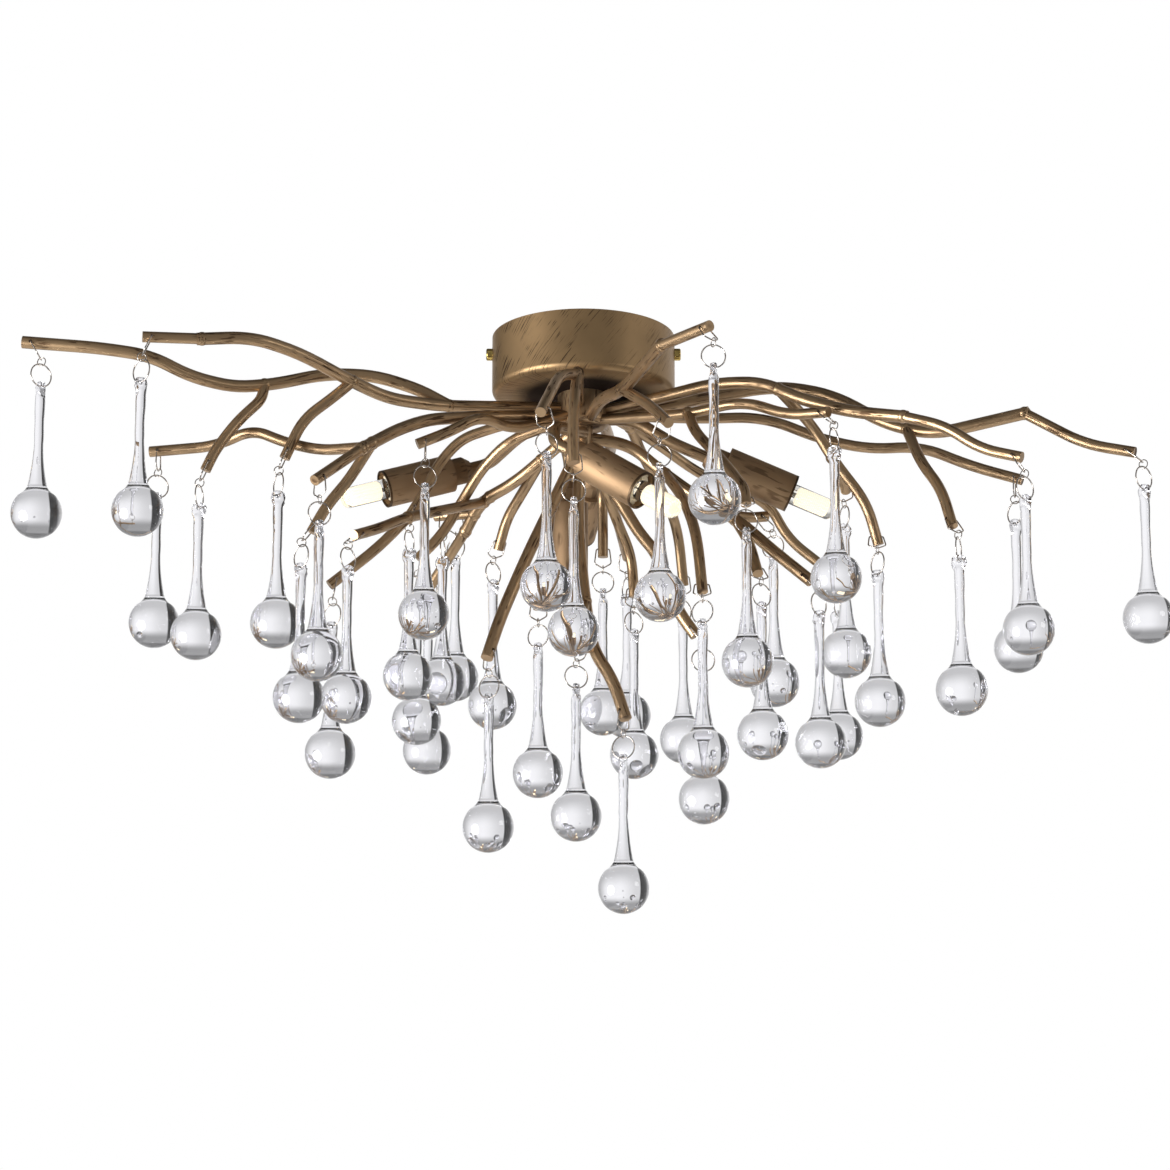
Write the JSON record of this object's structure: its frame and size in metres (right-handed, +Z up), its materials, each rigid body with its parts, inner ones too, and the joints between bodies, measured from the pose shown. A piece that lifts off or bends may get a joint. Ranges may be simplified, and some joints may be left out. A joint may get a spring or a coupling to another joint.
{
  "type": "ceiling light",
  "caption": "Flush ceiling light: round bronze canopy, tree of bent welded rods, small lampholders with capsule bulbs, and clear glass drops on wire hooks and rings.",
  "frame": {"origin": "Centre of the canopy's face on the ceiling, midway between the two ceiling screws", "axes": "+X right and +Z up as seen from the front, +Y away from the front"},
  "size_m": [0.7285, 0.4611, 0.3911],
  "materials": {
    "canopy_paint": "antique gold-bronze paint with fine dark diagonal brush streaks, satin",
    "rod_paint": "dark brown paint with tan-gold highlights and fine streaks along each rod, semi-gloss",
    "brass_fixings": "polished brass",
    "bracket_steel": "plain zinc-plated steel sheet",
    "lampholder_ceramic": "cream unglazed ceramic",
    "hanger_steel": "bright drawn wire",
    "bulb_glass": "capsule bulb, lit warm white, with a clear nose",
    "drop_glass": "clear hand-drawn glass with small air bubbles"
  },
  "bodies": {
    "frame": {"canopy": "canopy_paint", "ceiling_bracket": "bracket_steel", "canopy_fixings": "brass_fixings", "branch_hub": "rod_paint", "branches_left": "rod_paint", "branches_front": "rod_paint", "branches_right": "rod_paint", "branches_back": "rod_paint", "branches_low": "rod_paint", "lampholder_cups": "rod_paint", "lampholder_inserts": "lampholder_ceramic", "wire_hooks": "hanger_steel", "hanger_rings": "hanger_steel"},
    "drop_01": {"glass_drop_01": "drop_glass"},
    "drop_02": {"glass_drop_02": "drop_glass"},
    "drop_03": {"glass_drop_03": "drop_glass"},
    "drop_04": {"glass_drop_04": "drop_glass"},
    "drop_05": {"glass_drop_05": "drop_glass"},
    "drop_06": {"glass_drop_06": "drop_glass"},
    "drop_07": {"glass_drop_07": "drop_glass"},
    "drop_08": {"glass_drop_08": "drop_glass"},
    "drop_09": {"glass_drop_09": "drop_glass"},
    "drop_10": {"glass_drop_10": "drop_glass"},
    "drop_11": {"glass_drop_11": "drop_glass"},
    "drop_12": {"glass_drop_12": "drop_glass"},
    "drop_13": {"glass_drop_13": "drop_glass"},
    "drop_14": {"glass_drop_14": "drop_glass"},
    "drop_15": {"glass_drop_15": "drop_glass"},
    "drop_16": {"glass_drop_16": "drop_glass"},
    "drop_17": {"glass_drop_17": "drop_glass"},
    "drop_18": {"glass_drop_18": "drop_glass"},
    "drop_19": {"glass_drop_19": "drop_glass"},
    "drop_20": {"glass_drop_20": "drop_glass"},
    "drop_21": {"glass_drop_21": "drop_glass"},
    "drop_22": {"glass_drop_22": "drop_glass"},
    "drop_23": {"glass_drop_23": "drop_glass"},
    "drop_24": {"glass_drop_24": "drop_glass"},
    "drop_25": {"glass_drop_25": "drop_glass"},
    "drop_26": {"glass_drop_26": "drop_glass"},
    "drop_27": {"glass_drop_27": "drop_glass"},
    "drop_28": {"glass_drop_28": "drop_glass"},
    "drop_29": {"glass_drop_29": "drop_glass"},
    "drop_30": {"glass_drop_30": "drop_glass"},
    "drop_31": {"glass_drop_31": "drop_glass"},
    "drop_32": {"glass_drop_32": "drop_glass"},
    "drop_33": {"glass_drop_33": "drop_glass"},
    "drop_34": {"glass_drop_34": "drop_glass"},
    "drop_35": {"glass_drop_35": "drop_glass"},
    "drop_36": {"glass_drop_36": "drop_glass"},
    "drop_37": {"glass_drop_37": "drop_glass"},
    "drop_38": {"glass_drop_38": "drop_glass"},
    "drop_39": {"glass_drop_39": "drop_glass"},
    "drop_40": {"glass_drop_40": "drop_glass"},
    "drop_41": {"glass_drop_41": "drop_glass"},
    "drop_42": {"glass_drop_42": "drop_glass"},
    "bulb_1": {"capsule_bulb_1": "bulb_glass"},
    "bulb_2": {"capsule_bulb_2": "bulb_glass"},
    "bulb_3": {"capsule_bulb_3": "bulb_glass"},
    "bulb_4": {"capsule_bulb_4": "bulb_glass"},
    "bulb_5": {"capsule_bulb_5": "bulb_glass"}
  },
  "joints": [
    {"name": "drop_01_swing", "type": "hinge", "parent": "frame", "child": "drop_01", "pos_m": [-0.34457, -0.09597, -0.06521], "axis": [-0.788, -0.6157, 0], "range_deg": [-12, 12]},
    {"name": "drop_02_swing", "type": "hinge", "parent": "frame", "child": "drop_02", "pos_m": [-0.27629, -0.14061, -0.07728], "axis": [0.7431, -0.6691, 0], "range_deg": [-12, 12]},
    {"name": "drop_03_swing", "type": "hinge", "parent": "frame", "child": "drop_03", "pos_m": [-0.27473, -0.03331, -0.11958], "axis": [-0.866, -0.5, 0], "range_deg": [-12, 6]},
    {"name": "drop_04_swing", "type": "hinge", "parent": "frame", "child": "drop_04", "pos_m": [-0.2448, -0.0665, -0.13655], "axis": [-0.2588, -0.9659, 0], "range_deg": [-6, 8]},
    {"name": "drop_05_swing", "type": "hinge", "parent": "frame", "child": "drop_05", "pos_m": [-0.1935, -0.0798, -0.13265], "axis": [0.4695, -0.8829, 0], "range_deg": [-8, 12]},
    {"name": "drop_06_swing", "type": "hinge", "parent": "frame", "child": "drop_06", "pos_m": [-0.16394, -0.13352, -0.16825], "axis": [-0.9063, -0.4226, 0], "range_deg": [-5, 12]},
    {"name": "drop_07_swing", "type": "hinge", "parent": "frame", "child": "drop_07", "pos_m": [-0.17716, -0.0969, -0.18524], "axis": [0.6428, -0.766, 0], "range_deg": [-5, 6]},
    {"name": "drop_08_swing", "type": "hinge", "parent": "frame", "child": "drop_08", "pos_m": [-0.14957, -0.06489, -0.17754], "axis": [-0.5736, -0.8192, 0], "range_deg": [-11, 12]},
    {"name": "drop_09_swing", "type": "hinge", "parent": "frame", "child": "drop_09", "pos_m": [-0.16139, -0.02255, -0.20289], "axis": [0.766, -0.6428, 0], "range_deg": [-10, 12]},
    {"name": "drop_10_swing", "type": "hinge", "parent": "frame", "child": "drop_10", "pos_m": [-0.1011, -0.06412, -0.12264], "axis": [0.9397, 0.342, 0], "range_deg": [-12, 12]},
    {"name": "drop_11_swing", "type": "hinge", "parent": "frame", "child": "drop_11", "pos_m": [-0.11456, 0.0304, -0.13772], "axis": [-0.3746, -0.9272, 0], "range_deg": [-12, 12]},
    {"name": "drop_12_swing", "type": "hinge", "parent": "frame", "child": "drop_12", "pos_m": [-0.08761, 0.15419, -0.10618], "axis": [0.8192, -0.5736, 0], "range_deg": [-4, 12]},
    {"name": "drop_13_swing", "type": "hinge", "parent": "frame", "child": "drop_13", "pos_m": [-0.10972, 0.0608, -0.16011], "axis": [0.9397, 0.342, 0], "range_deg": [-4, 9]},
    {"name": "drop_14_swing", "type": "hinge", "parent": "frame", "child": "drop_14", "pos_m": [-0.10524, 0.13174, -0.16271], "axis": [0.9659, -0.2588, 0], "range_deg": [-12, 4]},
    {"name": "drop_15_swing", "type": "hinge", "parent": "frame", "child": "drop_15", "pos_m": [-0.0605, 0.08943, -0.14244], "axis": [-0.6428, -0.766, 0], "range_deg": [-2, 12]},
    {"name": "drop_16_swing", "type": "hinge", "parent": "frame", "child": "drop_16", "pos_m": [-0.06001, -0.0388, -0.25476], "axis": [0.848, -0.5299, 0], "range_deg": [-12, 12]},
    {"name": "drop_17_swing", "type": "hinge", "parent": "frame", "child": "drop_17", "pos_m": [-0.02281, -0.14252, -0.12613], "axis": [-0.9063, -0.4226, 0], "range_deg": [-5, 12]},
    {"name": "drop_18_swing", "type": "hinge", "parent": "frame", "child": "drop_18", "pos_m": [-0.00612, -0.1114, -0.14651], "axis": [0.9962, 0.0872, 0], "range_deg": [-5, 12]},
    {"name": "drop_19_swing", "type": "hinge", "parent": "frame", "child": "drop_19", "pos_m": [-0.02937, 0.0114, -0.20755], "axis": [0.8829, -0.4695, 0], "range_deg": [-12, 12]},
    {"name": "drop_20_swing", "type": "hinge", "parent": "frame", "child": "drop_20", "pos_m": [-0.00465, -0.02287, -0.24398], "axis": [0.9659, 0.2588, 0], "range_deg": [-12, 12]},
    {"name": "drop_21_swing", "type": "hinge", "parent": "frame", "child": "drop_21", "pos_m": [0.0133, 0.15469, -0.13008], "axis": [0.9903, 0.1392, 0], "range_deg": [-12, 7]},
    {"name": "drop_22_swing", "type": "hinge", "parent": "frame", "child": "drop_22", "pos_m": [0.03016, 0.19922, -0.12123], "axis": [0.4226, -0.9063, 0], "range_deg": [-6, 12]},
    {"name": "drop_23_swing", "type": "hinge", "parent": "frame", "child": "drop_23", "pos_m": [0.03382, 0.10982, -0.17118], "axis": [-0.8192, -0.5736, 0], "range_deg": [-12, 12]},
    {"name": "drop_24_swing", "type": "hinge", "parent": "frame", "child": "drop_24", "pos_m": [0.02538, -0.02986, -0.29217], "axis": [0.9397, -0.342, 0], "range_deg": [-12, 12]},
    {"name": "drop_25_swing", "type": "hinge", "parent": "frame", "child": "drop_25", "pos_m": [0.0476, -0.1237, -0.12751], "axis": [1, 0, 0], "range_deg": [-12, 12]},
    {"name": "drop_26_swing", "type": "hinge", "parent": "frame", "child": "drop_26", "pos_m": [0.07982, -0.1924, -0.08535], "axis": [0.9962, 0.0872, 0], "range_deg": [-12, 12]},
    {"name": "drop_27_swing", "type": "hinge", "parent": "frame", "child": "drop_27", "pos_m": [0.06819, 0.1664, -0.14663], "axis": [-0.766, -0.6428, 0], "range_deg": [-12, 12]},
    {"name": "drop_28_swing", "type": "hinge", "parent": "frame", "child": "drop_28", "pos_m": [0.07485, -0.08294, -0.21767], "axis": [0.866, -0.5, 0], "range_deg": [-12, 12]},
    {"name": "drop_29_swing", "type": "hinge", "parent": "frame", "child": "drop_29", "pos_m": [0.07678, -0.01976, -0.23207], "axis": [0.9848, 0.1736, 0], "range_deg": [-12, 12]},
    {"name": "drop_30_swing", "type": "hinge", "parent": "frame", "child": "drop_30", "pos_m": [0.10224, -0.10185, -0.16367], "axis": [0.9659, 0.2588, 0], "range_deg": [-12, 12]},
    {"name": "drop_31_swing", "type": "hinge", "parent": "frame", "child": "drop_31", "pos_m": [0.12396, 0.01383, -0.14649], "axis": [0.9063, -0.4226, 0], "range_deg": [-12, 12]},
    {"name": "drop_32_swing", "type": "hinge", "parent": "frame", "child": "drop_32", "pos_m": [0.11314, -0.05495, -0.19868], "axis": [-0.8192, -0.5736, 0], "range_deg": [-12, 12]},
    {"name": "drop_33_swing", "type": "hinge", "parent": "frame", "child": "drop_33", "pos_m": [0.15897, -0.08984, -0.10589], "axis": [-0.4226, -0.9063, 0], "range_deg": [-12, 12]},
    {"name": "drop_34_swing", "type": "hinge", "parent": "frame", "child": "drop_34", "pos_m": [0.16903, -0.01557, -0.13487], "axis": [0.3746, -0.9272, 0], "range_deg": [-10, 12]},
    {"name": "drop_35_swing", "type": "hinge", "parent": "frame", "child": "drop_35", "pos_m": [0.15022, -0.04265, -0.20102], "axis": [-0.6691, -0.7431, 0], "range_deg": [-10, 7]},
    {"name": "drop_36_swing", "type": "hinge", "parent": "frame", "child": "drop_36", "pos_m": [0.1712, 0.11971, -0.15558], "axis": [-0.342, -0.9397, 0], "range_deg": [-12, 12]},
    {"name": "drop_37_swing", "type": "hinge", "parent": "frame", "child": "drop_37", "pos_m": [0.18846, -0.04004, -0.17338], "axis": [0.5, -0.866, 0], "range_deg": [-7, 12]},
    {"name": "drop_38_swing", "type": "hinge", "parent": "frame", "child": "drop_38", "pos_m": [0.23475, -0.10752, -0.18338], "axis": [-0.309, -0.9511, 0], "range_deg": [-12, 11]},
    {"name": "drop_39_swing", "type": "hinge", "parent": "frame", "child": "drop_39", "pos_m": [0.27487, -0.13169, -0.15116], "axis": [-0.766, -0.6428, 0], "range_deg": [-10, 12]},
    {"name": "drop_40_swing", "type": "hinge", "parent": "frame", "child": "drop_40", "pos_m": [0.28158, 0.00125, -0.12692], "axis": [0.5736, -0.8192, 0], "range_deg": [-12, 12]},
    {"name": "drop_41_swing", "type": "hinge", "parent": "frame", "child": "drop_41", "pos_m": [0.35237, -0.10625, -0.13666], "axis": [-0.7431, -0.6691, 0], "range_deg": [-12, 12]},
    {"name": "drop_42_swing", "type": "hinge", "parent": "frame", "child": "drop_42", "pos_m": [-0.09433, 0.08681, -0.12685], "axis": [-0.1736, -0.9848, 0], "range_deg": [-8, 1]},
    {"name": "bulb_1_pull", "type": "slide", "parent": "frame", "child": "bulb_1", "axis": [-0.9146, -0.2561, -0.3129], "range_m": [0, 0.018]},
    {"name": "bulb_2_pull", "type": "slide", "parent": "frame", "child": "bulb_2", "axis": [0.7403, -0.3825, -0.5529], "range_m": [0, 0.018]},
    {"name": "bulb_3_pull", "type": "slide", "parent": "frame", "child": "bulb_3", "axis": [0.921, 0.1228, -0.3697], "range_m": [0, 0.018]},
    {"name": "bulb_4_pull", "type": "slide", "parent": "frame", "child": "bulb_4", "axis": [0, 0.1549, -0.9879], "range_m": [0, 0.018]},
    {"name": "bulb_5_pull", "type": "slide", "parent": "frame", "child": "bulb_5", "axis": [-0.1891, 0.8822, -0.4312], "range_m": [0, 0.018]}
  ]
}
